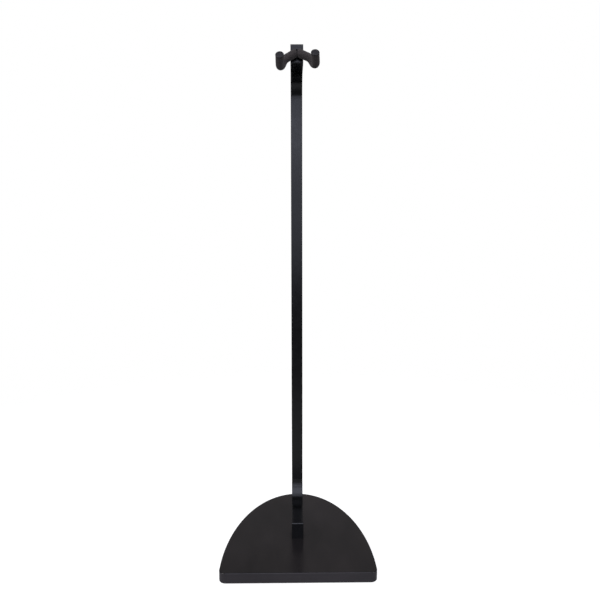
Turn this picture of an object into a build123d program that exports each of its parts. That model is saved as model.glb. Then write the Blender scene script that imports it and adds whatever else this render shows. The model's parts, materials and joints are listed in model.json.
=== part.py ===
from build123d import *
import os
from math import cos, radians, sin, tan

# A floor stand that hangs a stringed instrument by its headstock.
#
# A D-shaped board lies on four rubber pads. A flat steel bar rises from it:
# a short foot, a run backwards, the tall post, a run forwards and a short head.
# Its corners at both ends of the post are bent. Those at the foot and the head
# are welded and dressed round. A swivelling yoke on the head holds the
# instrument's neck between two rubber-sleeved fingers.
#
# Frame, in millimetres: the origin is on the floor under the middle of the
# board, +Z is up, the front of the stand faces -Y, and +X is on the right of
# someone who faces the stand.

# ---------------------------------------------------------------- board
BOARD_DEPTH = 346.0
BOARD_THICKNESS = 22.4
BOARD_HALF_WIDTH = 160.5
BOARD_WIDEST_LINE = 21.5  # the ellipse is widest this far behind the front edge
BOARD_CORNER_RADIUS = 14.0
BOARD_TOP_ROUND = 1.5
BOARD_BOTTOM_ROUND = 1.5

PAD_RADIUS = 10.0
PAD_HEIGHT = 2.6
PAD_ROUND = 0.8
PAD_FRONT_X = 125.0
PAD_FRONT_INSET = 26.0  # from the board's front edge to the front pads
PAD_REAR_X = 60.0
PAD_REAR_INSET = 62.0  # from the board's back end to the rear pads

# ---------------------------------------------------------------- bar
BAR_WIDTH = 25.4
BAR_THICKNESS = 6.35
BAR_EDGE_ROUND = 0.6
HEAD_FRONT_INSET = 129.5  # from the board's front edge to the foot and the head
POST_FRONT_INSET = 253.5  # from the board's front edge to the post
LOWER_RUN_TOP = 36.5  # above the board
UPPER_RUN_UNDERSIDE = 1008.7  # above the board
HEAD_TOP = 1045.9  # above the board
HEAD_TOP_ROUND = 2.5
WELD_OUTSIDE_ROUND = 3.0  # at the foot and the head
WELD_INSIDE_ROUND = 1.5
BEND_INSIDE = 46.0  # at both ends of the post

# ---------------------------------------------------------------- anchor under the board
PLATE_WIDTH = 84.0
PLATE_DEPTH = 60.0
PLATE_THICKNESS = 5.0
PLATE_CORNER_RADIUS = 6.0
POCKET_CLEARANCE = 0.5
MORTISE_CLEARANCE = 0.1
SCREW_RADIUS = 1.95  # M4 machine screws and 4 mm wood screws
SCREW_HOLE_RADIUS = 2.0
PLATE_HOLE_RADIUS = 2.25
SCREW_HEAD_RADIUS = 4.0
COUNTERSINK_RADIUS = 4.2
COUNTERSINK_ANGLE = 90.0
BAR_SCREW_SPACING = 13.0
BAR_SCREW_LENGTH = 20.0
BAR_SCREW_CHAMFER = 0.5
WOOD_SCREW_SPACING_X = 62.0
WOOD_SCREW_SPACING_Y = 40.0
WOOD_SCREW_LENGTH = 16.0
WOOD_SCREW_POINT = 3.0
WOOD_SCREW_POINT_RADIUS = 0.3
DRIVE_SLOT_WIDTH = 0.9
DRIVE_SLOT_LENGTH = 4.4
DRIVE_SLOT_DEPTH = 1.3
HOLE_PAST_SCREW = 1.0

# ---------------------------------------------------------------- swivel
PIVOT_BELOW_HEAD_TOP = 18.4
YOKE_ROLL = 3.3  # degrees, left finger low
BUSH_FLANGE_RADIUS = 7.0
BUSH_FLANGE_THICKNESS = 1.5
BUSH_BODY_RADIUS = 5.0
SHANK_HOLE_RADIUS = 4.0
SHANK_RADIUS = 3.95
THREAD_RADIUS = 3.0
COLLAR_RADIUS = 8.0
COLLAR_THICKNESS = 2.0
AXIAL_PLAY = 0.1
THRUST_WASHER_RADIUS = 7.0
THRUST_WASHER_THICKNESS = 1.0
WAVE_WASHER_RADIUS = 6.3
WAVE_WASHER_HOLE_RADIUS = 4.15
WAVE_WASHER_THICKNESS = 0.5
WAVE_WASHER_HEIGHT = 1.3
NUT_WASHER_RADIUS = 6.0
NUT_WASHER_THICKNESS = 1.2
THREADED_HOLE_RADIUS = 3.05
NUT_ACROSS_FLATS = 10.0
NUT_CORNER_RADIUS = 5.4
NUT_HEIGHT = 6.0
THREAD_PAST_NUT = 1.5

# ---------------------------------------------------------------- yoke
ROD_RADIUS = 4.0
ROD_FORWARD = 12.0  # from the head's front face to the rod's middle
SLEEVE_RADIUS = 8.15
SLEEVE_START = 0.2  # from the yoke's middle to a sleeve's inner end, along the rod
SLEEVE_GAP = 0.2  # between the two sleeves, where their ends are pressed flat
BORE_RELIEF = 0.8
BORE_RELIEF_DEPTH = 3.0
COPE_CLEARANCE = 0.4
PLUG_RADIUS = 8.4
PLUG_THICKNESS = 2.0
PLUG_STEM = 6.0
PLUG_ROUND = 0.6
ROD_END_GAP = 1.0  # from the rod's end to the plug's stem
CENTRE_BEND = 5.0
KNEE_BEND = 19.5
ELBOW_BEND = 9.6

# The right arm in the yoke's own frame: sideways, up, and forward from the
# head's front face.
KNEE = (26.5, -13.5, 14.5)
ELBOW = (35.1, -33.9, 19.2)
TIP = (34.0, -11.1, 48.8)

# ---------------------------------------------------------------- levels and planes
front_edge = -BOARD_DEPTH / 2
board_underside = PAD_HEIGHT
board_top = board_underside + BOARD_THICKNESS
plate_underside = board_underside + POCKET_CLEARANCE
plate_top = plate_underside + PLATE_THICKNESS
head_front = front_edge + HEAD_FRONT_INSET
head_middle = head_front + BAR_THICKNESS / 2
head_back = head_front + BAR_THICKNESS
post_front = front_edge + POST_FRONT_INSET
post_back = post_front + BAR_THICKNESS
lower_run_top = board_top + LOWER_RUN_TOP
lower_run_underside = lower_run_top - BAR_THICKNESS
upper_run_underside = board_top + UPPER_RUN_UNDERSIDE
upper_run_top = upper_run_underside + BAR_THICKNESS
head_top = board_top + HEAD_TOP
pivot_height = head_top - PIVOT_BELOW_HEAD_TOP

# The yoke's frame: X sideways to the right, Y up and Z forward, rolled about
# the swivel's axis.
yoke_frame = Plane(
    origin=(0, head_front, pivot_height),
    x_dir=(cos(radians(YOKE_ROLL)), 0, sin(radians(YOKE_ROLL))),
    z_dir=(0, -1, 0),
)
# The head's frame on the same axis, upright.
head_frame = Plane(origin=(0, head_front, pivot_height), x_dir=(1, 0, 0), z_dir=(0, -1, 0))

PAD_PLACES = {
    "pad_front_left": (-PAD_FRONT_X, front_edge + PAD_FRONT_INSET),
    "pad_front_right": (PAD_FRONT_X, front_edge + PAD_FRONT_INSET),
    "pad_rear_left": (-PAD_REAR_X, -front_edge - PAD_REAR_INSET),
    "pad_rear_right": (PAD_REAR_X, -front_edge - PAD_REAR_INSET),
}


def write(builder, name):
    """Label a finished piece and write it as its own STEP file."""
    builder.part.label = name
    export_step(builder.part, f"parts/{name}.step")


def screw_outline(length, point_length, point_radius):
    """Half section of a countersunk screw: its head face is at 0, its end at -length."""
    head_depth = (SCREW_HEAD_RADIUS - SCREW_RADIUS) / tan(radians(COUNTERSINK_ANGLE / 2))
    Polyline(
        (0, 0),
        (SCREW_HEAD_RADIUS, 0),
        (SCREW_RADIUS, -head_depth),
        (SCREW_RADIUS, point_length - length),
        (point_radius, -length),
        (0, -length),
        close=True,
    )


# ---------------------------------------------------------------- base board
def make_base_board():
    with BuildPart() as base_board:
        with BuildSketch(Plane.XY.offset(board_underside)):
            with Locations((0, front_edge + BOARD_WIDEST_LINE)):
                Ellipse(BOARD_HALF_WIDTH, BOARD_DEPTH - BOARD_WIDEST_LINE)
            with Locations((0, front_edge)):
                Rectangle(
                    2 * BOARD_HALF_WIDTH,
                    BOARD_DEPTH,
                    align=(Align.CENTER, Align.MIN),
                    mode=Mode.INTERSECT,
                )
        extrude(amount=BOARD_THICKNESS)
        front_corners = base_board.edges().filter_by(Axis.Z).group_by(Axis.Y)[0]
        fillet(front_corners, BOARD_CORNER_RADIUS)
        fillet(base_board.faces().sort_by(Axis.Z)[-1].edges(), BOARD_TOP_ROUND)
        fillet(base_board.faces().sort_by(Axis.Z)[0].edges(), BOARD_BOTTOM_ROUND)
        # Mortise for the bar's foot, right through the board.
        with BuildSketch(Plane.XY.offset(board_underside)):
            with Locations((0, head_middle)):
                Rectangle(BAR_WIDTH + 2 * MORTISE_CLEARANCE, BAR_THICKNESS + 2 * MORTISE_CLEARANCE)
        extrude(amount=BOARD_THICKNESS, mode=Mode.SUBTRACT)
        # Pocket for the anchor plate, in the underside.
        with BuildSketch(Plane.XY.offset(board_underside)):
            with Locations((0, head_middle)):
                RectangleRounded(
                    PLATE_WIDTH + 2 * POCKET_CLEARANCE,
                    PLATE_DEPTH + 2 * POCKET_CLEARANCE,
                    PLATE_CORNER_RADIUS + POCKET_CLEARANCE,
                )
        extrude(amount=POCKET_CLEARANCE + PLATE_THICKNESS, mode=Mode.SUBTRACT)
        # Pilot holes for the wood screws.
        with BuildSketch(Plane.XY.offset(plate_top)):
            with Locations((0, head_middle)):
                with GridLocations(WOOD_SCREW_SPACING_X, WOOD_SCREW_SPACING_Y, 2, 2):
                    Circle(SCREW_HOLE_RADIUS)
        hole_depth = WOOD_SCREW_LENGTH - PLATE_THICKNESS + HOLE_PAST_SCREW
        extrude(amount=hole_depth, mode=Mode.SUBTRACT)
    write(base_board, "base_board")


# ---------------------------------------------------------------- pads
def make_pads():
    for name, place in PAD_PLACES.items():
        with BuildPart() as pad:
            with BuildSketch():
                with Locations(place):
                    Circle(PAD_RADIUS)
            extrude(amount=PAD_HEIGHT)
            fillet(pad.edges().sort_by(Axis.Z)[0], PAD_ROUND)
        write(pad, name)


# ---------------------------------------------------------------- bar
def make_stem_bar():
    bend_outside = BEND_INSIDE + BAR_THICKNESS
    # The bar's side view: each corner is (y, z, rounding).
    corners = (
        (head_front, plate_top, 0),
        (head_front, lower_run_top, WELD_OUTSIDE_ROUND),
        (post_front, lower_run_top, BEND_INSIDE),
        (post_front, upper_run_underside, BEND_INSIDE),
        (head_front, upper_run_underside, WELD_OUTSIDE_ROUND),
        (head_front, head_top, HEAD_TOP_ROUND),
        (head_back, head_top, HEAD_TOP_ROUND),
        (head_back, upper_run_top, WELD_INSIDE_ROUND),
        (post_back, upper_run_top, bend_outside),
        (post_back, lower_run_underside, bend_outside),
        (head_back, lower_run_underside, WELD_INSIDE_ROUND),
        (head_back, plate_top, 0),
    )
    with BuildPart() as stem_bar:
        with BuildSketch(Plane.YZ):
            with BuildLine():
                FilletPolyline(
                    [(y, z) for y, z, rounding in corners],
                    radius=[rounding for y, z, rounding in corners],
                    close=True,
                )
            make_face()
        extrude(amount=BAR_WIDTH / 2, both=True)
        for side in (stem_bar.faces().sort_by(Axis.X)[0], stem_bar.faces().sort_by(Axis.X)[-1]):
            fillet(side.edges(), BAR_EDGE_ROUND)
        # Bore for the swivel's bush, through the head.
        with BuildSketch(head_frame):
            Circle(BUSH_BODY_RADIUS)
        extrude(amount=-BAR_THICKNESS, mode=Mode.SUBTRACT)
        # Tapped holes in the foot's end.
        with BuildSketch(Plane.XY.offset(plate_top)):
            with Locations((0, head_middle)):
                with GridLocations(BAR_SCREW_SPACING, 0, 2, 1):
                    Circle(SCREW_HOLE_RADIUS)
        hole_depth = BAR_SCREW_LENGTH - PLATE_THICKNESS + HOLE_PAST_SCREW
        extrude(amount=hole_depth, mode=Mode.SUBTRACT)
    write(stem_bar, "stem_bar")


# ---------------------------------------------------------------- anchor
def make_anchor_plate():
    plate_bottom_plane = Plane(
        origin=(0, head_middle, plate_underside), x_dir=(1, 0, 0), z_dir=(0, 0, -1)
    )
    with BuildPart() as anchor_plate:
        with BuildSketch(plate_bottom_plane):
            RectangleRounded(PLATE_WIDTH, PLATE_DEPTH, PLATE_CORNER_RADIUS)
        extrude(amount=-PLATE_THICKNESS)
        with Locations(plate_bottom_plane):
            with GridLocations(WOOD_SCREW_SPACING_X, WOOD_SCREW_SPACING_Y, 2, 2):
                CounterSinkHole(
                    PLATE_HOLE_RADIUS,
                    COUNTERSINK_RADIUS,
                    PLATE_THICKNESS,
                    counter_sink_angle=COUNTERSINK_ANGLE,
                )
            with GridLocations(BAR_SCREW_SPACING, 0, 2, 1):
                CounterSinkHole(
                    PLATE_HOLE_RADIUS,
                    COUNTERSINK_RADIUS,
                    PLATE_THICKNESS,
                    counter_sink_angle=COUNTERSINK_ANGLE,
                )
    write(anchor_plate, "anchor_plate")


def make_screws(name, places, length, point_length, point_radius):
    """Countersunk screws driven up through the anchor plate, one solid at each place."""
    with BuildPart() as screws:
        for x, y in places:
            head_face = Plane(origin=(x, y, plate_underside), x_dir=(1, 0, 0), z_dir=(0, 1, 0))
            with BuildSketch(head_face):
                with BuildLine():
                    screw_outline(length, point_length, point_radius)
                make_face()
            revolve(axis=Axis((x, y, 0), (0, 0, 1)))
            with BuildSketch(Plane(origin=(x, y, plate_underside))):
                Rectangle(DRIVE_SLOT_LENGTH, DRIVE_SLOT_WIDTH)
                Rectangle(DRIVE_SLOT_WIDTH, DRIVE_SLOT_LENGTH)
            extrude(amount=DRIVE_SLOT_DEPTH, mode=Mode.SUBTRACT)
    write(screws, name)


def make_anchor_screws():
    half_x = WOOD_SCREW_SPACING_X / 2
    half_y = WOOD_SCREW_SPACING_Y / 2
    corners = [(x, head_middle + y) for x in (-half_x, half_x) for y in (-half_y, half_y)]
    make_screws(
        "anchor_wood_screws",
        corners,
        WOOD_SCREW_LENGTH,
        WOOD_SCREW_POINT,
        WOOD_SCREW_POINT_RADIUS,
    )
    ends = [(x, head_middle) for x in (-BAR_SCREW_SPACING / 2, BAR_SCREW_SPACING / 2)]
    make_screws(
        "bar_screws",
        ends,
        BAR_SCREW_LENGTH,
        BAR_SCREW_CHAMFER,
        SCREW_RADIUS - BAR_SCREW_CHAMFER,
    )


# ---------------------------------------------------------------- swivel
# Distances along the swivel's axis, positive in front of the head.
collar_back = BUSH_FLANGE_THICKNESS + AXIAL_PLAY
collar_front = collar_back + COLLAR_THICKNESS
thrust_back = -BAR_THICKNESS - THRUST_WASHER_THICKNESS
wave_front = thrust_back - AXIAL_PLAY
shank_end = wave_front - WAVE_WASHER_HEIGHT
nut_front = shank_end - NUT_WASHER_THICKNESS
nut_back = nut_front - NUT_HEIGHT
stud_end = nut_back - THREAD_PAST_NUT
stud_front = ROD_FORWARD - ROD_RADIUS / 2  # its saddle reaches half way round the rod


def make_ring(name, frame, start, length, outer, inner):
    """A plain washer: its front face is at start, and it extends back by length."""
    with BuildPart() as ring:
        with BuildSketch(frame.offset(start)):
            Circle(outer)
            Circle(inner, mode=Mode.SUBTRACT)
        extrude(amount=-length)
    write(ring, name)


def make_pivot_bush():
    with BuildPart() as pivot_bush:
        with BuildSketch(head_frame):
            Circle(BUSH_FLANGE_RADIUS)
        extrude(amount=BUSH_FLANGE_THICKNESS)
        with BuildSketch(head_frame):
            Circle(BUSH_BODY_RADIUS)
        extrude(amount=-BAR_THICKNESS)
        with BuildSketch(head_frame.offset(BUSH_FLANGE_THICKNESS)):
            Circle(SHANK_HOLE_RADIUS)
        extrude(amount=-BUSH_FLANGE_THICKNESS - BAR_THICKNESS, mode=Mode.SUBTRACT)
    write(pivot_bush, "pivot_bush")


def make_wave_washer():
    """A coned spring washer, between the thrust washer and the nut's washer."""
    half_section = Plane(origin=yoke_frame.origin, x_dir=yoke_frame.x_dir, z_dir=(0, 0, 1))
    rise = WAVE_WASHER_HEIGHT - WAVE_WASHER_THICKNESS
    inner = WAVE_WASHER_HOLE_RADIUS
    outer = WAVE_WASHER_RADIUS
    with BuildPart() as wave_washer:
        with BuildSketch(half_section):
            with BuildLine():
                Polyline(
                    (inner, -wave_front),
                    (inner, -wave_front + WAVE_WASHER_THICKNESS),
                    (outer, -wave_front + WAVE_WASHER_THICKNESS + rise),
                    (outer, -wave_front + rise),
                    close=True,
                )
            make_face()
        revolve(axis=Axis(yoke_frame.origin, (0, 1, 0)))
    write(wave_washer, "wave_washer")


def make_lock_nut():
    with BuildPart() as lock_nut:
        with BuildSketch(yoke_frame.offset(nut_front)):
            RegularPolygon(NUT_ACROSS_FLATS / 2, 6, major_radius=False)
        extrude(amount=-NUT_HEIGHT)
        with BuildSketch(yoke_frame.offset(nut_front)):
            Circle(NUT_CORNER_RADIUS)
        extrude(amount=-NUT_HEIGHT, mode=Mode.INTERSECT)
        with BuildSketch(yoke_frame.offset(nut_front)):
            Circle(THREADED_HOLE_RADIUS)
        extrude(amount=-NUT_HEIGHT, mode=Mode.SUBTRACT)
    write(lock_nut, "lock_nut")


def make_pivot_stud(yoke_rod):
    """Shank, thrust collar and threaded end, coped to the rod it is welded to."""
    with BuildPart() as pivot_stud:
        with BuildSketch(yoke_frame.offset(stud_front)):
            Circle(SHANK_RADIUS)
        extrude(amount=shank_end - stud_front)
        with BuildSketch(yoke_frame.offset(collar_back)):
            Circle(COLLAR_RADIUS)
        extrude(amount=COLLAR_THICKNESS)
        with BuildSketch(yoke_frame.offset(shank_end)):
            Circle(THREAD_RADIUS)
        extrude(amount=stud_end - shank_end)
        add(yoke_rod.part, mode=Mode.SUBTRACT)
    write(pivot_stud, "pivot_stud")


# ---------------------------------------------------------------- yoke
def mirrored(point, side):
    return (side * point[0], point[1], point[2])


def along(start, end, distance):
    """The point this far from start on the way to end."""
    step = (Vector(*end) - Vector(*start)).normalized() * distance
    return tuple(Vector(*start) + step)


def tip_inset(distance):
    """A point on the right finger's middle line, this far back from its tip."""
    return along(TIP, ELBOW, distance)


def make_yoke_rod():
    rod_end = tip_inset(PLUG_THICKNESS + PLUG_STEM + ROD_END_GAP)
    centre = (0, 0, ROD_FORWARD)
    with BuildPart() as yoke_rod:
        with BuildLine(yoke_frame) as middle_line:
            FilletPolyline(
                mirrored(rod_end, -1),
                mirrored(ELBOW, -1),
                mirrored(KNEE, -1),
                centre,
                KNEE,
                ELBOW,
                rod_end,
                radius=[ELBOW_BEND, KNEE_BEND, CENTRE_BEND, KNEE_BEND, ELBOW_BEND],
            )
        with BuildSketch(Plane(origin=middle_line.line @ 0, z_dir=middle_line.line % 0)):
            Circle(ROD_RADIUS)
        sweep()
    write(yoke_rod, "yoke_rod")
    return yoke_rod


def make_sleeve(name, side):
    sleeve_inner = along((0, 0, ROD_FORWARD), KNEE, SLEEVE_START)
    sleeve_outer = tip_inset(PLUG_THICKNESS)
    with BuildPart() as sleeve:
        with BuildLine(yoke_frame) as middle_line:
            FilletPolyline(
                mirrored(sleeve_inner, side),
                mirrored(KNEE, side),
                mirrored(ELBOW, side),
                mirrored(sleeve_outer, side),
                radius=[KNEE_BEND, ELBOW_BEND],
            )
        with BuildSketch(Plane(origin=middle_line.line @ 0, z_dir=middle_line.line % 0)):
            Circle(SLEEVE_RADIUS)
            Circle(ROD_RADIUS, mode=Mode.SUBTRACT)
        sweep()
        # The bore opens out at the inner end, round the rod's bend.
        with BuildSketch(Plane(origin=middle_line.line @ 0, z_dir=middle_line.line % 0)):
            Circle(ROD_RADIUS + BORE_RELIEF)
        extrude(amount=BORE_RELIEF_DEPTH, mode=Mode.SUBTRACT)
        # Below the notch, the inner end is pressed flat against the other sleeve.
        with BuildSketch(yoke_frame):
            with Locations((side * SLEEVE_GAP / 2, 0)):
                Rectangle(
                    SLEEVE_RADIUS,
                    4 * SLEEVE_RADIUS,
                    align=(Align.MAX if side > 0 else Align.MIN, Align.CENTER),
                )
        extrude(amount=ROD_FORWARD + 2 * SLEEVE_RADIUS, mode=Mode.SUBTRACT)
        # The inner end is notched at the back around the stud.
        with BuildSketch(yoke_frame):
            Circle(SHANK_RADIUS + COPE_CLEARANCE)
        extrude(amount=ROD_FORWARD, mode=Mode.SUBTRACT)
    write(sleeve, name)


def make_end_plug(name, side):
    outer_end = mirrored(tip_inset(PLUG_THICKNESS), side)
    tip = mirrored(TIP, side)
    seat = yoke_frame.from_local_coords(Vector(*outer_end))
    finger_end = yoke_frame.from_local_coords(Vector(*tip))
    plug_frame = Plane(origin=seat, z_dir=finger_end - seat)
    with BuildPart() as end_plug:
        with BuildSketch(plug_frame):
            Circle(PLUG_RADIUS)
        extrude(amount=PLUG_THICKNESS)
        rim = end_plug.faces().sort_by(Axis(plug_frame.origin, plug_frame.z_dir))[-1].edges()
        fillet(rim, PLUG_ROUND)
        with BuildSketch(plug_frame):
            Circle(ROD_RADIUS)
        extrude(amount=-PLUG_STEM)
    write(end_plug, name)


os.makedirs("parts", exist_ok=True)
make_base_board()
make_pads()
make_stem_bar()
make_anchor_plate()
make_anchor_screws()
make_pivot_bush()
make_ring(
    "thrust_washer",
    head_frame,
    -BAR_THICKNESS,
    THRUST_WASHER_THICKNESS,
    THRUST_WASHER_RADIUS,
    SHANK_HOLE_RADIUS,
)
make_wave_washer()
make_ring(
    "nut_washer",
    yoke_frame,
    shank_end,
    NUT_WASHER_THICKNESS,
    NUT_WASHER_RADIUS,
    THREADED_HOLE_RADIUS,
)
make_lock_nut()
make_pivot_stud(make_yoke_rod())
for arm, direction in (("left", -1), ("right", 1)):
    make_sleeve(f"sleeve_{arm}", direction)
    make_end_plug(f"end_plug_{arm}", direction)
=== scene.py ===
import json
from math import cos, pi, radians, sin, sqrt, tan

import bmesh
import bpy
from mathutils import Matrix, Quaternion, Vector, noise


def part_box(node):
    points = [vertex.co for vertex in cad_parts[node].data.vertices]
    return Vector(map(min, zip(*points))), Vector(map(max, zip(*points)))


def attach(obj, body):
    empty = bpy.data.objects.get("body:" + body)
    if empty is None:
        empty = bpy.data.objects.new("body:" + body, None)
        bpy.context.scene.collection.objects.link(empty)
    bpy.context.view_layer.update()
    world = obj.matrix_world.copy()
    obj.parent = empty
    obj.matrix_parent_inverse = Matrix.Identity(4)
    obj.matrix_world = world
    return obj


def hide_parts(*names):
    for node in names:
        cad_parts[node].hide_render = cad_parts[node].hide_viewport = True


# The looks of a floor stand that hangs a stringed instrument by its headstock:
# a lacquered board on four rubber pads, a powder-coated bar, and a swivelling
# yoke whose two fingers wear rubber sleeves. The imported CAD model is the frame.
# The board, the bar, the rod and the anchor plate show as they are, with their
# materials. Every other piece is built here in its CAD node's place.
#
# Metres. The origin is on the floor under the middle of the board, +Z is up,
# the front of the stand faces -Y, and +X is on the right of someone who faces it.

MM = 0.001

# ---------------------------------------------------------------- camera
CAMERA_PLACE = (-9.6 * MM, -1287.7 * MM, 739.3 * MM)
CAMERA_YAW = radians(0.704)  # towards +X
CAMERA_TILT = radians(8.187)  # downwards
CAMERA_ROLL = radians(-0.067)
CAMERA_LENS = 36.0  # in millimetres, as Blender has it
CAMERA_SENSOR = 36.0

# ---------------------------------------------------------------- studio
FLOOR_RADIUS = 1.6
FLOOR_SOLID_RADIUS = 0.35
FLOOR_DROP = 0.1 * MM  # below the pads' undersides
FLOOR_WHITE = (0.5, 0.5, 0.5, 1.0)
FLOOR_LIFT = 0.85  # how much brighter the floor looks to the camera
STUDIO_DARK = (0.1, 0.1, 0.105, 1.0)
BACKDROP_WHITE = (1.0, 1.0, 1.0, 1.0)
FLOOR_ROUGHNESS = 0.9
FLOOR_SPECULAR = 0.1
COOL = (0.92, 0.96, 1.16)
NEUTRAL = (1, 1, 1)
WARM = (1.05, 0.96, 0.99)

# Softboxes: name, place, aim, width, height, radiance and tint. The front ones
# stand one under another, and the bar's bends mirror them in that order.
SOFTBOXES = (
    ("front_top", (0, -2.0, 5.1), (0, 0, 0.6), 3.0, 1.5, 1.0, COOL),
    ("front_high", (0, -4.3, 4.1), (0, 0, 0.6), 3.0, 3.7, 1.8, COOL),
    ("front_upper", (0, -6.0, 2.35), (0, 0, 2.35), 3.2, 1.0, 0.85, COOL),
    ("front_middle", (0, -6.0, 1.75), (0, 0, 1.75), 3.2, 0.4, 2.6, COOL),
    ("front_low", (0, -6.0, 1.0), (0, 0, 1.0), 3.2, 1.1, 0.85, COOL),
    ("front_foot", (0, -6.0, 0.22), (0, 0, 0.22), 3.2, 0.45, 0.75, COOL),
    ("side_left", (-2.35, -1.64, 2.0), (0, 0, 0.6), 1.2, 3.0, 5.2, NEUTRAL),
    ("side_right", (2.35, -1.64, 2.0), (0, 0, 0.6), 1.2, 3.0, 3.4, NEUTRAL),
    ("backdrop", (0, 3.2, 1.9), (0, 0, 0.2), 4.0, 1.7, 0.17, WARM),
)

# ---------------------------------------------------------------- finishes
# Each finish varies between its two colours, in linear light.
BOARD_TOP = (0.0030, 0.0024, 0.0026), (0.0150, 0.0122, 0.0128)
# Painted light: the board's upright sides are coloured paler than its top, as if lit from the front.
BOARD_SIDE_PAINTED_LIGHT = (0.0260, 0.0232, 0.0265), (0.0320, 0.0285, 0.0325)
COAT_BLACK = (0.0014, 0.0015, 0.0018), (0.0024, 0.0026, 0.0031)
SLEEVE_GREY = (0.0225, 0.0175, 0.0178), (0.0345, 0.0272, 0.0272)
PLUG_BLACK = (0.0110, 0.0103, 0.0126), (0.0158, 0.0146, 0.0176)
PAD_BLACK = (0.016, 0.016, 0.016), (0.034, 0.033, 0.032)
NYLON_BLACK = (0.014, 0.014, 0.014), (0.024, 0.024, 0.024)
OXIDE_BLACK = (0.0030, 0.0030, 0.0032), (0.0070, 0.0068, 0.0068)
ZINC_GREY = (0.47, 0.48, 0.49), (0.62, 0.62, 0.61)
RAMP_ENDS = (0.3, 0.7)  # the middle range of a noise, for a colour
SPAN_ENDS = (0.35, 0.65)  # the same for a roughness
STREAK_TURN = (0, 0, radians(38))  # of the board's streaks
SMUDGE_TURN = (0, 0, radians(-30))  # of the smudges on its lacquer

# ---------------------------------------------------------------- mesh fineness
ARC_STEPS = 4
COLUMNS = 64  # round a turned piece
SLEEVE_COLUMNS = 72
WAVE_COLUMNS = 96
NUT_COLUMNS = 72
STUD_COLUMNS = 60
SCREW_COLUMNS = 48
FLOOR_COLUMNS = 96
UNDIVIDED = 1.0  # longer than any straight of an outline
SLEEVE_ROW = 0.8 * MM
PLUG_ROW = 0.6 * MM
NUT_ROW = 0.3 * MM
STUD_ROW = 0.1 * MM
SCREW_ROW = 0.2 * MM
PAD_ROW = 1.2 * MM
ROUNDING_UP = 0.49  # added before round, so that only an almost whole count stays
CREASE = radians(40)
NUT_CREASE = radians(25)

# ---------------------------------------------------------------- yoke
YOKE_ROLL = radians(3.3)  # left finger low
ROD_RADIUS = 4.0 * MM
ROD_FORWARD = 12.0 * MM  # from the head's front face to the rod's middle
SLEEVE_RADIUS = 8.15 * MM
SLEEVE_START = 0.2 * MM  # from the yoke's middle to a sleeve's inner end
SEAM_GAP = 0.1 * MM  # from the yoke's middle to where the sleeves press together
SEAM_ROUND = 1.0 * MM
SLEEVE_BORE = 4.05 * MM
SLEEVE_RIM = 1.2 * MM
NOTCH_RADIUS = 4.5 * MM  # round the stud, at the back of a sleeve's inner end
NOTCH_EDGE = 1.2 * MM
NOTCH_FADE = 7.0 * MM
FOLD_DEPTH = 0.35 * MM
FOLD_PITCH = 3.0 * MM
CROWN_FLATTENING = 0.3 * MM  # on the outside of a bend
UNEVENNESS = 0.12 * MM
UNEVENNESS_SCALE = 130.0  # per metre
PLUG_RADIUS = 8.4 * MM
PLUG_THICKNESS = 2.0 * MM
PLUG_STEM = 6.0 * MM
PLUG_STEM_ROUND = 0.5 * MM
PLUG_RIM = (  # how far in from the plug's radius, height from the sleeve, and rounding
    (0.3 * MM, 0, 0.25 * MM),
    (0, 0.9 * MM, 0.5 * MM),
    (0.6 * MM, PLUG_THICKNESS, 0.7 * MM),
)
PLUG_FACE = (  # radius, height from the plug's thickness, and rounding
    (5.9 * MM, 0.1 * MM, 0.2 * MM),  # outer edge of the ring
    (5.5 * MM, -0.3 * MM, 0.2 * MM),  # its bottom
    (5.1 * MM, 0.15 * MM, 0.2 * MM),  # its inner edge
    (1.3 * MM, 0.3 * MM, 0.3 * MM),  # top of the dome
    (1.0 * MM, 0, 0.15 * MM),  # edge of the dimple
)
KNEE_BEND = 19.5 * MM
ELBOW_BEND = 9.6 * MM

# The right arm in the yoke's own frame: sideways, up, and forward from the
# head's front face.
CENTRE = Vector((0, 0, ROD_FORWARD))
KNEE = Vector((26.5 * MM, -13.5 * MM, 14.5 * MM))
ELBOW = Vector((35.1 * MM, -33.9 * MM, 19.2 * MM))
TIP = Vector((34.0 * MM, -11.1 * MM, 48.8 * MM))

# ---------------------------------------------------------------- swivel
SHANK_RADIUS = 3.95 * MM
SHANK_HOLE_RADIUS = 4.0 * MM
BUSH_BODY_RADIUS = 5.0 * MM
BUSH_END_ROUND = 0.3 * MM
BUSH_LIP_ROUND = 0.15 * MM
BUSH_FLANGE_ROUND = 0.4 * MM
THRUST_WASHER_ROUND = 0.2 * MM
NUT_WASHER_ROUND = 0.15 * MM
THREAD_RADIUS = 3.0 * MM
THREAD_DEPTH = 0.55 * MM
THREAD_PITCH = 1.0 * MM
THREADED_HOLE_RADIUS = 3.05 * MM
SHANK_ROUND = 0.3 * MM
COLLAR_BACK = 1.6 * MM
COLLAR_BACK_ROUND = 0.25 * MM
COLLAR_FRONT = 3.6 * MM
COLLAR_FRONT_ROUND = 0.4 * MM
COLLAR_FILLET = 0.5 * MM
WAVE_WASHER_HOLE_RADIUS = 4.15 * MM
WAVE_WASHER_THICKNESS = 0.5 * MM
WAVE_WASHER_ROUND = 0.12 * MM
WAVES = 3
NUT_ACROSS_FLATS = 10.0 * MM
NUT_CHAMFER_RADIUS = 4.7 * MM
NUT_CHAMFER_SLOPE = 1.7
NUT_SKIRT = 1.6 * MM  # the round collar that holds the nylon ring
NUT_SKIRT_RADIUS = 4.7 * MM
NUT_SKIRT_ROUND = 0.9 * MM
NUT_LIP_RADIUS = 4.0 * MM
NUT_LIP_ROUND = 0.15 * MM
NUT_THREAD_CHAMFER = 0.5 * MM
NUT_HEXAGON_CHAMFER = 0.4 * MM
NYLON_DEPTH = 1.4 * MM
NYLON_RECESS = 0.25 * MM
NYLON_ROUND = 0.2 * MM

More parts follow.
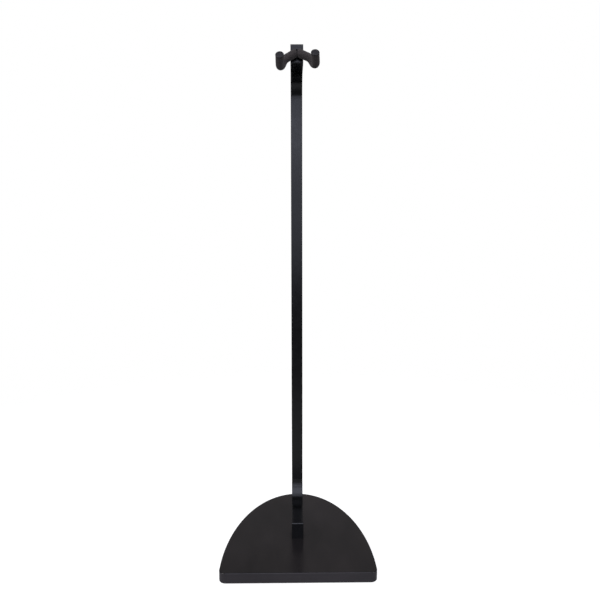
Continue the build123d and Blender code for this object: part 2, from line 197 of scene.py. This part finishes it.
# ---------------------------------------------------------------- anchor and pads
SCREW_HEAD_RADIUS = 4.0 * MM
SCREW_RADIUS = 1.95 * MM
SCREW_HEAD_EDGE = 0.25 * MM
SCREW_HEAD_ROUND = 0.1 * MM
SCREW_NECK_ROUND = 0.5 * MM
SCREW_TIP_RADIUS = 0.3 * MM
WOOD_THREAD_START = 5.0 * MM
WOOD_THREAD_PITCH = 1.8 * MM
WOOD_THREAD_DEPTH = 0.5 * MM
WOOD_POINT = 3.0 * MM
MACHINE_THREAD_START = 4.0 * MM
MACHINE_THREAD_PITCH = 0.7 * MM
MACHINE_THREAD_DEPTH = 0.4 * MM
MACHINE_POINT = 0.5 * MM
# Decimals of a metre. They should make one row of a row's two ends, but the bar
# screws' ends round apart, so those two screws are each made twice, 0.01 mm apart.
PLACE_DECIMALS = 5
RECESS_DEPTH = 1.4 * MM
RECESS_WING = 2.3 * MM
RECESS_HALF_WIDTH = 0.5 * MM
RECESS_WALL = 0.18 * MM
PAD_BAND = 0.9 * MM  # the upright part of a pad's side, under the board
PAD_BAND_ROUND = 0.2 * MM
PAD_TAPER = 0.9 * MM
PAD_FOOT_ROUND = 0.7 * MM
PAD_GROOVES = (3.4 * MM, 5.6 * MM, 7.6 * MM)
PAD_GROOVE_WIDTH = 0.7 * MM
PAD_GROOVE_DEPTH = 0.4 * MM
PAD_GROOVE_EDGE_ROUND = 0.08 * MM
PAD_GROOVE_ROUND = 0.1 * MM

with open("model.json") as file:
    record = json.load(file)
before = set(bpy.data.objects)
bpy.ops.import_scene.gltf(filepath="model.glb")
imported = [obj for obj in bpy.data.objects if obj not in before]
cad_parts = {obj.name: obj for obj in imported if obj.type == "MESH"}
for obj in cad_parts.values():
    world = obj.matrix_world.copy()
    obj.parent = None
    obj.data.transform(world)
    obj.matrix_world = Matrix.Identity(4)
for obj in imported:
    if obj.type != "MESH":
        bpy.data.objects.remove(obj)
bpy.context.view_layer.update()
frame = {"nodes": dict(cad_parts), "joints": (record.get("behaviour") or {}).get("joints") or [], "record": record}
behaviour = frame["record"]["behaviour"]
body_of = {node: body for body, nodes in behaviour["bodies"].items() for node in nodes}
slot_of = {part["node"]: part["material_slot"] for part in frame["record"]["subparts"]}
pivot = Vector(frame["joints"][0]["pos_m"])


# ---------------------------------------------------------------- materials
class Finish:
    """A material on a Principled shader, with its textures laid out in metres."""

    def __init__(self, name, **sockets):
        self.material = bpy.data.materials.new(name)
        self.material.use_nodes = True
        self.tree = self.material.node_tree
        self.shader = self.tree.nodes["Principled BSDF"]
        coordinates = self.tree.nodes.new("ShaderNodeTexCoord")
        self.place = coordinates.outputs["Object"]
        self.normal = coordinates.outputs["Normal"]
        for socket, value in sockets.items():
            self.shader.inputs[socket.replace("_", " ")].default_value = value

    def node(self, kind, links=None, **values):
        made = self.tree.nodes.new(kind)
        for socket, value in values.items():
            made.inputs[socket.replace("_", " ")].default_value = value
        for socket, output in (links or {}).items():
            self.tree.links.new(output, made.inputs[socket])
        return made

    def drive(self, socket, output):
        self.tree.links.new(output, self.shader.inputs[socket])

    def noise(self, per_metre, detail=3.0, stretch=(1, 1, 1), turn=(0, 0, 0)):
        """Cloudy noise, with this many features to the metre."""
        mapping = self.node("ShaderNodeMapping", {"Vector": self.place}, Scale=stretch, Rotation=turn)
        place = mapping.outputs[0]
        made = self.node("ShaderNodeTexNoise", {"Vector": place}, Scale=per_metre, Detail=detail)
        return made.outputs["Fac"]

    def cells(self, per_metre):
        """Small rounded cells, with this many to the metre."""
        made = self.node("ShaderNodeTexVoronoi", {"Vector": self.place}, Scale=per_metre)
        return made.outputs["Distance"]

    def roughness(self, factor, low, high):
        """From low to high, over the factor's middle range."""
        made = self.node(
            "ShaderNodeMapRange",
            {"Value": factor},
            From_Min=SPAN_ENDS[0],
            From_Max=SPAN_ENDS[1],
            To_Min=low,
            To_Max=high,
        )
        self.drive("Roughness", made.outputs[0])

    def ramp(self, factor, low, high):
        """A colour from low to high, over the factor's middle range."""
        ramp = self.node("ShaderNodeValToRGB", {"Fac": factor})
        for end, position, colour in zip(ramp.color_ramp.elements, RAMP_ENDS, (low, high)):
            end.position = position
            end.color = (*colour, 1)
        return ramp.outputs["Color"]

    def colour(self, factor, low, high):
        self.drive("Base Color", self.ramp(factor, low, high))

    def upright(self, steep, level):
        """One colour where the surface is upright, and another where it is level."""
        facing = self.node("ShaderNodeSeparateXYZ", {"Vector": self.normal}).outputs["Z"]
        tilt = self.node("ShaderNodeMath", {"Value": facing})
        tilt.operation = "ABSOLUTE"
        mix = self.node("ShaderNodeMix")
        mix.data_type = "RGBA"
        sockets = {socket.identifier: socket for socket in mix.inputs}
        self.tree.links.new(tilt.outputs[0], sockets["Factor_Float"])
        self.tree.links.new(steep, sockets["A_Color"])
        self.tree.links.new(level, sockets["B_Color"])
        return next(out for out in mix.outputs if out.identifier == "Result_Color")

    def bump(self, height, depth, under=None):
        """A normal for this height, on top of another normal where there is one under it."""
        links = {"Height": height}
        if under is not None:
            links["Normal"] = under
        return self.node("ShaderNodeBump", links, Distance=depth).outputs[0]

    def relief(self, height, depth, under=None):
        self.drive("Normal", self.bump(height, depth, under))


def board_lacquer():
    """Satin black lacquer over streaky board; the upright sides are coloured paler as painted light, as if lit
    from the front.
    """
    finish = Finish("board_lacquer", IOR=1.45)
    clouds = finish.noise(per_metre=16.0, detail=6.0, stretch=(1, 0.35, 1), turn=STREAK_TURN)
    top = finish.ramp(clouds, *BOARD_TOP)
    # Painted light: this paler colour goes on the upright sides, as if the front light fell on them; the level top
    # keeps the board's own streaky black.
    painted_light_side = finish.ramp(clouds, *BOARD_SIDE_PAINTED_LIGHT)
    finish.drive("Base Color", finish.upright(painted_light_side, top))
    smudges = finish.noise(per_metre=24.0, detail=5.0, stretch=(1, 0.5, 1), turn=SMUDGE_TURN)
    finish.roughness(smudges, low=0.16, high=0.24)
    peel = finish.bump(finish.noise(per_metre=520.0, detail=1.0), depth=0.03 * MM)
    grain = finish.noise(per_metre=90.0, detail=4.0, stretch=(14, 1, 14))
    finish.relief(grain, depth=0.03 * MM, under=peel)
    return finish.material


def powder_coat():
    """Black powder coat: a satin skin with a fine texture and slow waves."""
    finish = Finish("powder_coat", IOR=1.48)
    blotches = finish.noise(per_metre=45.0, detail=3.0)
    finish.colour(blotches, *COAT_BLACK)
    finish.roughness(finish.noise(per_metre=60.0), low=0.17, high=0.21)
    texture = finish.bump(finish.noise(per_metre=1400.0, detail=2.0), depth=0.02 * MM)
    waves = finish.noise(per_metre=70.0, detail=2.0, stretch=(1, 1, 0.4))
    finish.relief(waves, depth=0.12 * MM, under=texture)
    return finish.material


def sleeve_rubber():
    """Matt closed-cell rubber: warm dark grey, with pores and light scuffs."""
    finish = Finish("sleeve_rubber", IOR=1.42, Sheen_Weight=0.12, Sheen_Roughness=0.6)
    clouds = finish.noise(per_metre=160.0, detail=5.0)
    finish.colour(clouds, *SLEEVE_GREY)
    finish.roughness(finish.noise(per_metre=300.0), low=0.74, high=0.9)
    pores = finish.bump(finish.cells(per_metre=1500.0), depth=0.06 * MM)
    finish.relief(finish.noise(per_metre=420.0, detail=4.0), depth=0.1 * MM, under=pores)
    return finish.material


def plug_plastic():
    """Spark-eroded black plastic."""
    finish = Finish("plug_plastic", IOR=1.46)
    clouds = finish.noise(per_metre=240.0, detail=3.0)
    finish.colour(clouds, *PLUG_BLACK)
    finish.roughness(finish.noise(per_metre=500.0), low=0.5, high=0.62)
    finish.relief(finish.noise(per_metre=2600.0, detail=2.0), depth=0.04 * MM)
    return finish.material


def pad_rubber():
    """Soft black rubber."""
    finish = Finish("pad_rubber", IOR=1.42)
    dust = finish.noise(per_metre=350.0, detail=4.0)
    finish.colour(dust, *PAD_BLACK)
    finish.roughness(dust, low=0.8, high=0.95)
    finish.relief(finish.noise(per_metre=1800.0), depth=0.05 * MM)
    return finish.material


def bearing_nylon():
    """Moulded black nylon, a little waxy."""
    finish = Finish("bearing_nylon", IOR=1.5)
    clouds = finish.noise(per_metre=420.0, detail=3.0)
    finish.colour(clouds, *NYLON_BLACK)
    finish.roughness(clouds, low=0.4, high=0.52)
    finish.relief(finish.noise(per_metre=1500.0), depth=0.02 * MM)
    return finish.material


def black_steel():
    """Steel with a black oxide, mottled and slightly rubbed."""
    finish = Finish("black_steel", Specular_IOR_Level=0.15)
    mottle = finish.noise(per_metre=260.0, detail=5.0)
    finish.colour(mottle, *OXIDE_BLACK)
    finish.roughness(finish.noise(per_metre=400.0, detail=4.0), low=0.42, high=0.6)
    finish.relief(finish.noise(per_metre=1100.0, detail=3.0), depth=0.03 * MM)
    return finish.material


def zinc_steel():
    """Zinc-plated steel, with a fine stamped surface."""
    finish = Finish("zinc_steel", Metallic=1.0)
    mottle = finish.noise(per_metre=320.0, detail=4.0)
    finish.colour(mottle, *ZINC_GREY)
    finish.roughness(finish.noise(per_metre=600.0, detail=4.0), low=0.26, high=0.42)
    finish.relief(finish.noise(per_metre=1600.0, detail=3.0), depth=0.02 * MM)
    return finish.material


RECIPES = (
    board_lacquer,
    powder_coat,
    sleeve_rubber,
    plug_plastic,
    pad_rubber,
    bearing_nylon,
    black_steel,
    zinc_steel,
)
finishes = {recipe.__name__: recipe() for recipe in RECIPES}


# ---------------------------------------------------------------- mesh building
def skin(name, rings, closed):
    """A smooth mesh through rings of points. A ring of one point is a pole."""
    shape = bmesh.new()
    made = [[shape.verts.new(point) for point in ring] for ring in rings]
    pairs = list(zip(made, made[1:]))
    if closed:
        pairs.append((made[-1], made[0]))
    for ring, following in pairs:
        count = max(len(ring), len(following))
        for column in range(count):
            after = (column + 1) % count
            corners = [ring[column % len(ring)], ring[after % len(ring)]]
            corners += [following[after % len(following)], following[column % len(following)]]
            shape.faces.new(dict.fromkeys(corners))
    bmesh.ops.recalc_face_normals(shape, faces=shape.faces)
    mesh = bpy.data.meshes.new(name)
    shape.to_mesh(mesh)
    shape.free()
    mesh.shade_smooth()
    piece = bpy.data.objects.new(name, mesh)
    bpy.context.scene.collection.objects.link(piece)
    return piece


def soften(corners, closed):
    """An outline's points: each corner is (radius, height, rounding), cut by an arc."""
    points = []
    for index, (radius, height, rounding) in enumerate(corners):
        here = Vector((radius, height))
        if not rounding:
            points.append(here)
            continue
        back = (Vector(corners[index - 1][:2]) - here).normalized()
        ahead = (Vector(corners[(index + 1) % len(corners)][:2]) - here).normalized()
        half = back.angle(ahead) / 2
        centre = here + (back + ahead).normalized() * rounding / sin(half)
        first = here + back * rounding / tan(half) - centre
        last = here + ahead * rounding / tan(half) - centre
        for step in range(ARC_STEPS + 1):
            points.append(centre + first.lerp(last, step / ARC_STEPS).normalized() * rounding)
    if closed:
        points.append(points[0].copy())
    return points


def spread(points, spacing):
    """The same line, with no two points further apart than the spacing."""
    dense = [points[0]]
    for start, end in zip(points, points[1:]):
        count = max(1, round((end - start).length / spacing + ROUNDING_UP))
        dense += [start.lerp(end, step / count) for step in range(1, count + 1)]
    return dense


def plain(radius, height, angle):
    return Vector((radius * cos(angle), radius * sin(angle), height))


def turned(name, corners, columns=COLUMNS, spacing=UNDIVIDED, closed=False, place=plain):
    """A turned solid: its outline goes round, and place puts each of its points."""
    outline = spread(soften(corners, closed), spacing)
    if closed:
        outline.pop()
    rings = []
    for radius, height in outline:
        count = columns if radius > 0 else 1
        rings.append([place(radius, height, 2 * pi * column / columns) for column in range(count)])
    return skin(name, rings, closed)


def fit(piece, node, matrix, slot, crease=CREASE):
    """The piece moves to its place, on a CAD node's body and in a material."""
    piece.data.transform(matrix)
    piece.data.set_sharp_from_angle(angle=crease)
    even = piece.modifiers.new("even_normals", "WEIGHTED_NORMAL")
    even.keep_sharp = True
    piece.data.materials.append(finishes[slot])
    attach(piece, body_of[node])


def stand_in(piece, node, matrix, crease=CREASE):
    """The piece takes a CAD node's place, body and material."""
    fit(piece, node, matrix, slot_of[node], crease)
    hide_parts(node)


def ring_corners(inner, outer, back, front, rounding):
    """The outline of a plain ring."""
    return [
        (inner, back, rounding),
        (outer, back, rounding),
        (outer, front, rounding),
        (inner, front, rounding),
    ]


# ---------------------------------------------------------------- frames
def axis_frame(roll):
    """X sideways, Y up and Z forward along the swivel's axis, from the head's front face."""
    side = Vector((cos(roll), 0, sin(roll)))
    up = Vector((-sin(roll), 0, cos(roll)))
    forward = Vector(frame["joints"][0]["axis"])
    return Matrix.Translation(pivot) @ Matrix((side, up, forward)).transposed().to_4x4()


head_frame = axis_frame(0)
yoke_frame = axis_frame(YOKE_ROLL)


def axial_size(node):
    """A node's radius, and how far forward of the head its back and front are."""
    low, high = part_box(node)
    return (high.x - low.x) / 2, pivot.y - high.y, pivot.y - low.y


# ---------------------------------------------------------------- sleeves
class Route:
    """An arm's middle line: straight runs joined by arcs, with axes carried along it."""

    def __init__(self, corners, bends):
        self.legs = []
        place = corners[0]
        heading = (corners[1] - place).normalized()
        turned_by = Quaternion()
        for corner, following, bend in zip(corners[1:], corners[2:], bends):
            next_heading = (following - corner).normalized()
            angle = heading.angle(next_heading)
            setback = bend * tan(angle / 2)
            run = (corner - place).length - setback
            axis = heading.cross(next_heading).normalized()
            self.legs.append((run, place, heading, turned_by, None, 0))
            place = place + heading * run
            self.legs.append((bend * angle, place, heading, turned_by, axis, bend))
            turned_by = Quaternion(axis, angle) @ turned_by
            place = corner + next_heading * setback
            heading = next_heading
        run = (corners[-1] - place).length
        self.legs.append((run, place, heading, turned_by, None, 0))
        self.length = sum(leg[0] for leg in self.legs)
        self.start_heading = (corners[1] - corners[0]).normalized()
        self.over = Vector((0, 0, 1))
        self.across = self.start_heading.cross(self.over)

    def at(self, distance):
        """Place, carried rotation, and the push towards the inside of the bend."""
        for length, place, heading, turned_by, axis, bend in self.legs:
            if distance <= length:
                break
            distance -= length
        if axis is None:
            return place + heading * distance, turned_by, Vector()
        swing = Quaternion(axis, distance / bend)
        centre = place + axis.cross(heading) * bend
        spot = centre + swing @ (place - centre)
        squeeze = sin(pi * distance / length) * SLEEVE_RADIUS / bend
        return spot, swing @ turned_by, (centre - spot).normalized() * squeeze


def notch_shift(route, outward, radius):
    """How much later this line of the sleeve starts, to clear the stud behind it."""
    behind = -outward.z * radius
    if behind <= 0:
        return 0
    beside = outward * radius
    beside.z = 0
    half = beside.dot(route.start_heading)
    inside = half * half - beside.length_squared + NOTCH_RADIUS * NOTCH_RADIUS
    if inside <= 0:
        return 0
    late = -half + sqrt(inside) - SLEEVE_START
    return max(0, late) * min(1, behind / NOTCH_EDGE)


def pressed(point, side):
    """The point, kept on its own side of the seam where the two sleeves meet."""
    beyond = side * point.x - SEAM_GAP
    kept = (beyond + sqrt(beyond * beyond + SEAM_ROUND * SEAM_ROUND)) / 2
    return Vector((side * (SEAM_GAP + kept), point.y, point.z))


def sleeve_place(route, side):
    """Puts a sleeve's points on its route, with the folds and unevenness of real rubber."""

    def place(radius, distance, angle):
        outward = route.over * cos(angle) + route.across * sin(angle)
        fade = max(0, 1 - (distance - SLEEVE_START) / NOTCH_FADE)
        spot, rotation, squeeze = route.at(distance + notch_shift(route, outward, radius) * fade)
        outward = rotation @ outward
        if radius > SLEEVE_RADIUS - SLEEVE_RIM:
            inner = outward.dot(squeeze)
            wave = 0.5 + 0.5 * cos(2 * pi * distance / FOLD_PITCH)
            radius -= FOLD_DEPTH * wave * max(0, inner) ** 2
            radius -= CROWN_FLATTENING * max(0, -inner)
            radius += UNEVENNESS * noise.noise((spot + outward * radius) * UNEVENNESS_SCALE)
        return pressed(spot + outward * radius, side)

    return place


def arm_route(side):
    mirror = Matrix.Diagonal((side, 1, 1))
    corners = [mirror @ corner for corner in (CENTRE, KNEE, ELBOW, TIP)]
    return Route(corners, (KNEE_BEND, ELBOW_BEND))


def make_sleeve(node, route, side):
    corners = ring_corners(
        SLEEVE_BORE, SLEEVE_RADIUS, SLEEVE_START, route.length - PLUG_THICKNESS, SLEEVE_RIM
    )
    place = sleeve_place(route, side)
    sleeve = turned(f"rubber_{node}", corners, SLEEVE_COLUMNS, SLEEVE_ROW, True, place)
    stand_in(sleeve, node, yoke_frame)


def make_plug(node, route):
    """A cap with a domed face, a shallow ring and a moulding dimple in its middle."""
    corners = [(0, -PLUG_STEM, 0), (ROD_RADIUS, -PLUG_STEM, PLUG_STEM_ROUND), (ROD_RADIUS, 0, 0)]
    corners += [(PLUG_RADIUS - inset, height, rounding) for inset, height, rounding in PLUG_RIM]
    corners += [(radius, PLUG_THICKNESS + rise, rounding) for radius, rise, rounding in PLUG_FACE]
    corners.append((0, PLUG_THICKNESS, 0))
    spot, rotation, _ = route.at(route.length - PLUG_THICKNESS)
    axes = [rotation @ axis for axis in (route.over, route.across, route.start_heading)]
    axes[1].negate()
    matrix = Matrix.Translation(spot) @ Matrix(axes).transposed().to_4x4()
    stand_in(turned(f"capped_{node}", corners, spacing=PLUG_ROW), node, yoke_frame @ matrix)


# ---------------------------------------------------------------- swivel
def thread(place, start, end, depth, pitch):
    """Wraps place, so that the radius between two heights carries a screw thread."""

    def threaded(radius, height, angle):
        if start < height < end and radius > depth:
            phase = (height / pitch - angle / (2 * pi)) % 1
            radius -= depth * abs(2 * phase - 1)
        return place(radius, height, angle)

    return threaded


def make_bush():
    flange_radius, back, front = axial_size("pivot_bush")
    corners = [
        (SHANK_HOLE_RADIUS, back, BUSH_LIP_ROUND),
        (BUSH_BODY_RADIUS, back, BUSH_END_ROUND),
        (BUSH_BODY_RADIUS, 0, 0),
        (flange_radius, 0, BUSH_LIP_ROUND),
        (flange_radius, front, BUSH_FLANGE_ROUND),
        (SHANK_HOLE_RADIUS, front, BUSH_END_ROUND),
    ]
    stand_in(turned("flanged_bush", corners, closed=True), "pivot_bush", head_frame)


def make_flat_washer(name, node, hole_radius, rounding, matrix):
    radius, back, front = axial_size(node)
    corners = ring_corners(hole_radius, radius, back, front, rounding)
    stand_in(turned(name, corners, closed=True), node, matrix)


def make_wave_washer():
    radius, back, front = axial_size("wave_washer")
    middle = (back + front) / 2
    swing = (front - back - WAVE_WASHER_THICKNESS) / 2
    half = WAVE_WASHER_THICKNESS / 2
    corners = ring_corners(WAVE_WASHER_HOLE_RADIUS, radius, -half, half, WAVE_WASHER_ROUND)

    def wavy(radius, height, angle):
        return plain(radius, middle + height + swing * cos(WAVES * angle), angle)

    washer = turned("sprung_wave_washer", corners, WAVE_COLUMNS, closed=True, place=wavy)
    stand_in(washer, "wave_washer", yoke_frame)


def make_nut():
    """A lock nut: chamfered hexagon, round skirt, and a nylon ring under its lip."""
    corner_radius, back, front = axial_size("lock_nut")

    def hexagonal(radius, height, angle):
        flat = NUT_ACROSS_FLATS / 2 / cos((angle + pi / 6) % (pi / 3) - pi / 6)
        near_end = min(front - height, height - back - NUT_SKIRT)
        chamfer = NUT_CHAMFER_RADIUS + NUT_CHAMFER_SLOPE * max(0, near_end)
        return plain(min(radius, flat, chamfer), height, angle)

    corners = [
        (THREADED_HOLE_RADIUS, back + NYLON_DEPTH, 0),
        (THREADED_HOLE_RADIUS, front - NUT_THREAD_CHAMFER, 0),
        (THREADED_HOLE_RADIUS + NUT_THREAD_CHAMFER, front, 0),
        (NUT_CHAMFER_RADIUS, front, 0),
        (corner_radius, front - NUT_HEXAGON_CHAMFER, 0),
        (corner_radius, back + NUT_SKIRT + NUT_HEXAGON_CHAMFER, 0),
        (NUT_SKIRT_RADIUS, back + NUT_SKIRT, 0),
        (NUT_SKIRT_RADIUS, back, NUT_SKIRT_ROUND),
        (NUT_LIP_RADIUS, back, NUT_LIP_ROUND),
        (NUT_LIP_RADIUS, back + NYLON_DEPTH, 0),
    ]
    nut = turned("hex_lock_nut", corners, NUT_COLUMNS, NUT_ROW, True, hexagonal)
    stand_in(nut, "lock_nut", yoke_frame, crease=NUT_CREASE)
    nylon_back, nylon_front = back + NYLON_RECESS, back + NYLON_DEPTH
    ring = ring_corners(THREAD_RADIUS, NUT_LIP_RADIUS, nylon_back, nylon_front, NYLON_ROUND)
    nylon = turned("nut_nylon_ring", ring, closed=True)
    fit(nylon, "lock_nut", yoke_frame, "bearing_nylon")


def make_stud():
    """Shank, thrust collar and threaded end, seated on the rod it is welded to."""
    collar_radius, back, front = axial_size("pivot_stud")
    shank_end = axial_size("nut_washer")[2]
    slope = (KNEE - CENTRE).angle(Vector((1, 0, 0)))

    def saddled(radius, height, angle):
        point = plain(radius, height, angle)
        aside = point.y * cos(slope) + abs(point.x) * sin(slope)
        rod_half = sqrt(max(0, ROD_RADIUS * ROD_RADIUS - aside * aside))
        point.z = min(point.z, ROD_FORWARD - rod_half)
        return point

    corners = [
        (0, back, 0),
        (THREAD_RADIUS - THREAD_DEPTH, back, 0),
        (THREAD_RADIUS, back + THREAD_DEPTH, 0),
        (THREAD_RADIUS, shank_end, 0),
        (SHANK_RADIUS, shank_end, SHANK_ROUND),
        (SHANK_RADIUS, COLLAR_BACK, 0),
        (collar_radius, COLLAR_BACK, COLLAR_BACK_ROUND),
        (collar_radius, COLLAR_FRONT, COLLAR_FRONT_ROUND),
        (SHANK_RADIUS, COLLAR_FRONT, COLLAR_FILLET),
        (SHANK_RADIUS, ROD_FORWARD, 0),
        (0, ROD_FORWARD, 0),
    ]
    place = thread(saddled, back + THREAD_DEPTH, shank_end, THREAD_DEPTH, THREAD_PITCH)
    stud = turned("threaded_pivot_stud", corners, STUD_COLUMNS, STUD_ROW, place=place)
    stand_in(stud, "pivot_stud", yoke_frame)


# ---------------------------------------------------------------- screws and pads
def cross_recess(radius, angle):
    """How deep a cross recess is at a point of a screw's head."""
    x = abs(radius * cos(angle))
    y = abs(radius * sin(angle))
    deepest = 0
    for along, beside in ((x, y), (y, x)):
        wall = min(1, max(0, (RECESS_HALF_WIDTH - beside) / RECESS_WALL))
        floor = sqrt(max(0, 1 - along / RECESS_WING))
        deepest = max(deepest, RECESS_DEPTH * wall * floor)
    return deepest


def make_screws(node, name, thread_start, depth, pitch, point):
    """Countersunk screws with cross recesses, heads down, at the corners of a node's box."""
    low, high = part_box(node)
    length = high.z - low.z
    cone = SCREW_HEAD_RADIUS - SCREW_RADIUS

    def headed(radius, height, angle):
        if height > -SCREW_HEAD_EDGE:
            height -= cross_recess(radius, angle)
        return plain(radius, height, angle)

    corners = [
        (0, -length, 0),
        (max(SCREW_TIP_RADIUS, SCREW_RADIUS - point), -length, 0),
        (SCREW_RADIUS, point - length, 0),
        (SCREW_RADIUS, -cone, SCREW_NECK_ROUND),
        (SCREW_HEAD_RADIUS, -SCREW_HEAD_EDGE, 0),
        (SCREW_HEAD_RADIUS, 0, SCREW_HEAD_ROUND),
        (0, 0, 0),
    ]
    place = thread(headed, point / 2 - length, -thread_start, depth, pitch)
    inset = SCREW_HEAD_RADIUS
    columns = (low.x + inset, high.x - inset)
    rows = sorted({round(y, PLACE_DECIMALS) for y in (low.y + inset, high.y - inset)})
    for number, (x, y) in enumerate(((x, y) for x in columns for y in rows), start=1):
        upside_down = Matrix.Translation((x, y, low.z)) @ Matrix.Rotation(pi, 4, "X")
        screw = turned(f"{name}_{number}", corners, SCREW_COLUMNS, SCREW_ROW, place=place)
        fit(screw, node, upside_down, slot_of[node])
        if number == 1:
            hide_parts(node)


def make_pad(node):
    """A moulded foot: tapered side, rounded rim, and grip grooves underneath."""
    low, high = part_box(node)
    radius = (high.x - low.x) / 2
    height = high.z - low.z
    corners = [
        (0, height, 0),
        (radius, height, PAD_BAND_ROUND),
        (radius, height - PAD_BAND, PAD_BAND_ROUND),
        (radius - PAD_TAPER, 0, PAD_FOOT_ROUND),
    ]
    for groove in reversed(PAD_GROOVES):
        corners.append((groove + PAD_GROOVE_WIDTH / 2, 0, PAD_GROOVE_EDGE_ROUND))
        corners.append((groove, PAD_GROOVE_DEPTH, PAD_GROOVE_ROUND))
        corners.append((groove - PAD_GROOVE_WIDTH / 2, 0, PAD_GROOVE_EDGE_ROUND))
    corners.append((0, 0, 0))
    middle = Vector(((low.x + high.x) / 2, (low.y + high.y) / 2, low.z))
    pad = turned(f"moulded_{node}", corners, spacing=PAD_ROW)
    stand_in(pad, node, Matrix.Translation(middle))


# ---------------------------------------------------------------- studio
def make_camera():
    lens = bpy.data.cameras.new("camera")
    lens.lens = CAMERA_LENS
    lens.sensor_width = CAMERA_SENSOR
    camera = bpy.data.objects.new("camera", lens)
    heading = Matrix.Rotation(-CAMERA_YAW, 4, "Z")
    pitch = Matrix.Rotation(pi / 2 - CAMERA_TILT, 4, "X")
    roll = Matrix.Rotation(CAMERA_ROLL, 4, "Z")
    camera.matrix_world = Matrix.Translation(CAMERA_PLACE) @ heading @ pitch @ roll
    bpy.context.scene.collection.objects.link(camera)
    bpy.context.scene.camera = camera


def make_softbox(name, place, aim, width, height, radiance, tint):
    """A rectangular lamp that the camera doesn't see."""
    light = bpy.data.lights.new(name, "AREA")
    light.shape = "RECTANGLE"
    light.size = width
    light.size_y = height
    light.energy = radiance * width * height * pi
    light.color = tint
    lamp = bpy.data.objects.new(name, light)
    direction = Vector(aim) - Vector(place)
    turn = direction.to_track_quat("-Z", "Y").to_matrix().to_4x4()
    lamp.matrix_world = Matrix.Translation(place) @ turn
    lamp.visible_camera = False
    bpy.context.scene.collection.objects.link(lamp)


def make_lights():
    for softbox in SOFTBOXES:
        make_softbox(*softbox)


def make_world():
    """A white backdrop to the camera, and a dim studio to everything else."""
    world = bpy.data.worlds.new("studio")
    world.use_nodes = True
    nodes = world.node_tree.nodes
    links = world.node_tree.links
    dim = nodes["Background"]
    dim.inputs["Color"].default_value = STUDIO_DARK
    white = nodes.new("ShaderNodeBackground")
    white.inputs["Color"].default_value = BACKDROP_WHITE
    rays = nodes.new("ShaderNodeLightPath")
    mix = nodes.new("ShaderNodeMixShader")
    links.new(rays.outputs["Is Camera Ray"], mix.inputs["Fac"])
    links.new(dim.outputs[0], mix.inputs[1])
    links.new(white.outputs[0], mix.inputs[2])
    links.new(mix.outputs[0], nodes["World Output"].inputs["Surface"])
    bpy.context.scene.world = world


def floor_material():
    """Pale and matt, and fading out some way from the stand."""
    material = bpy.data.materials.new("studio_floor")
    material.use_nodes = True
    nodes = material.node_tree.nodes
    links = material.node_tree.links
    matt = nodes["Principled BSDF"]
    matt.inputs["Base Color"].default_value = FLOOR_WHITE
    matt.inputs["Roughness"].default_value = FLOOR_ROUGHNESS
    matt.inputs["Specular IOR Level"].default_value = FLOOR_SPECULAR
    glow = nodes.new("ShaderNodeEmission")
    rays = nodes.new("ShaderNodeLightPath")
    strength = nodes.new("ShaderNodeMath")
    strength.operation = "MULTIPLY"
    strength.inputs[1].default_value = FLOOR_LIFT
    links.new(rays.outputs["Is Camera Ray"], strength.inputs[0])
    links.new(strength.outputs[0], glow.inputs["Strength"])
    lit = nodes.new("ShaderNodeAddShader")
    links.new(matt.outputs[0], lit.inputs[0])
    links.new(glow.outputs[0], lit.inputs[1])
    place = nodes.new("ShaderNodeTexCoord")
    distance = nodes.new("ShaderNodeVectorMath")
    distance.operation = "LENGTH"
    links.new(place.outputs["Object"], distance.inputs[0])
    fade = nodes.new("ShaderNodeMapRange")
    fade.interpolation_type = "SMOOTHSTEP"
    fade.inputs["From Min"].default_value = FLOOR_SOLID_RADIUS
    fade.inputs["From Max"].default_value = FLOOR_RADIUS
    links.new(distance.outputs["Value"], fade.inputs["Value"])
    clear = nodes.new("ShaderNodeBsdfTransparent")
    mix = nodes.new("ShaderNodeMixShader")
    links.new(fade.outputs[0], mix.inputs["Fac"])
    links.new(lit.outputs[0], mix.inputs[1])
    links.new(clear.outputs[0], mix.inputs[2])
    links.new(mix.outputs[0], nodes["Material Output"].inputs["Surface"])
    return material


def make_floor():
    corners = [(0, -FLOOR_DROP, 0), (FLOOR_RADIUS, -FLOOR_DROP, 0)]
    floor = turned("studio_floor", corners, FLOOR_COLUMNS, spacing=2 * FLOOR_RADIUS)
    floor.data.materials.append(floor_material())


# ---------------------------------------------------------------- the scene
bpy.context.scene.view_settings.view_transform = "Standard"
make_camera()
make_world()
make_lights()
make_floor()

for node, piece in frame["nodes"].items():
    piece.data.materials.clear()
    piece.data.materials.append(finishes[slot_of[node]])

for arm, direction in (("left", -1), ("right", 1)):
    route = arm_route(direction)
    make_sleeve(f"sleeve_{arm}", route, direction)
    make_plug(f"end_plug_{arm}", route)
make_bush()
make_flat_washer(
    "nylon_thrust_washer", "thrust_washer", SHANK_HOLE_RADIUS, THRUST_WASHER_ROUND, head_frame
)
make_wave_washer()
make_flat_washer(
    "stamped_nut_washer", "nut_washer", THREADED_HOLE_RADIUS, NUT_WASHER_ROUND, yoke_frame
)
make_nut()
make_stud()
make_screws(
    "anchor_wood_screws",
    "wood_screw",
    WOOD_THREAD_START,
    WOOD_THREAD_DEPTH,
    WOOD_THREAD_PITCH,
    WOOD_POINT,
)
make_screws(
    "bar_screws",
    "bar_screw",
    MACHINE_THREAD_START,
    MACHINE_THREAD_DEPTH,
    MACHINE_THREAD_PITCH,
    MACHINE_POINT,
)
for node in frame["nodes"]:
    if node.startswith("pad_"):
        make_pad(node)
